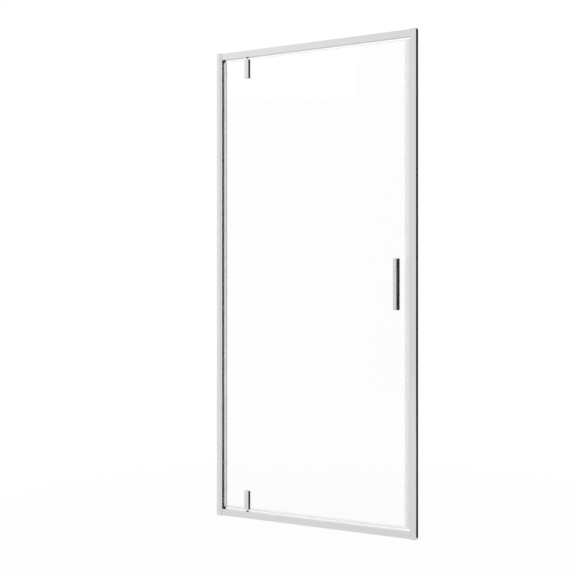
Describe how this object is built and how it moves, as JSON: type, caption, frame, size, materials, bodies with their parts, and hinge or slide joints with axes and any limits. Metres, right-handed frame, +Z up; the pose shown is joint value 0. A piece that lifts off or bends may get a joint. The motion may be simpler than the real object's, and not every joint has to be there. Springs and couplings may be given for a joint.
{
  "type": "pivot shower door",
  "caption": "Framed pivot shower door for an alcove: clear glass leaf on inset top and bottom pivots, flat bar handle, magnetic closing strips.",
  "frame": {"origin": "on the shower tray, midway between the two walls, and midway between the front of the handle and the screw covers at the back, which is 5.75 mm in front of the middle plane of the glass", "axes": "+Z up, +X to the right as seen from outside the shower, -Y out of the shower towards the person"},
  "size_m": [0.9, 0.04, 1.95],
  "materials": {
    "bright_aluminium": "bright silver anodised, smooth, with faint draw lines along each extrusion",
    "chrome_plate": "polished plating",
    "stainless_steel": "turned, lightly brushed",
    "cast_zinc": "die-cast, matt grey",
    "clear_glass": "clear toughened glass with ground edges",
    "clear_seal": "milky clear soft plastic",
    "strip_plastic": "white plastic, satin",
    "cap_plastic": "silver grey moulded plastic",
    "soft_rubber": "black soft rubber",
    "magnet_rubber": "flexible magnetic strip",
    "bearing_nylon": "black nylon"
  },
  "bodies": {
    "frame": {"wall_profile_left": "bright_aluminium", "wall_profile_right": "bright_aluminium", "jamb_left": "bright_aluminium", "jamb_right": "bright_aluminium", "top_rail": "bright_aluminium", "bottom_rail": "bright_aluminium", "rail_screws": "stainless_steel", "top_end_caps": "cap_plastic", "bottom_end_caps": "cap_plastic", "corner_blocks": "soft_rubber", "jamb_lock_screws": "stainless_steel", "lock_screw_covers": "cap_plastic", "jamb_jack_screw": "stainless_steel", "strike_strip": "strip_plastic", "strike_magnet": "magnet_rubber", "top_pivot_carrier": "cast_zinc", "top_pivot_bush": "bearing_nylon", "bottom_pivot_carrier": "cast_zinc", "bottom_pivot_bush": "bearing_nylon", "pivot_carrier_screws": "stainless_steel", "thrust_disc": "stainless_steel"},
    "leaf": {"door_glass": "clear_glass", "top_pivot_pin": "stainless_steel", "bottom_pivot_pin": "stainless_steel", "top_hinge_front": "chrome_plate", "top_hinge_back": "chrome_plate", "top_hinge_gaskets": "soft_rubber", "bottom_hinge_front": "chrome_plate", "bottom_hinge_back": "chrome_plate", "bottom_hinge_gaskets": "soft_rubber", "hinge_clamp_screws": "stainless_steel", "hinge_sleeves": "bearing_nylon", "hinge_side_seal": "clear_seal", "closing_seal": "clear_seal", "closing_magnet": "magnet_rubber", "drip_seal_short": "clear_seal", "drip_seal_long": "clear_seal", "handle_grip": "chrome_plate", "handle_posts": "chrome_plate", "handle_base": "chrome_plate", "handle_inner": "chrome_plate", "handle_gaskets": "soft_rubber", "handle_screws": "stainless_steel", "handle_sleeves": "bearing_nylon"}
  },
  "joints": [
    {"name": "leaf_pivot", "type": "hinge", "parent": "frame", "child": "leaf", "pos_m": [-0.3048, 0.00575, 0.975], "axis": [0, 0, -1], "range_deg": [0, 90]}
  ]
}
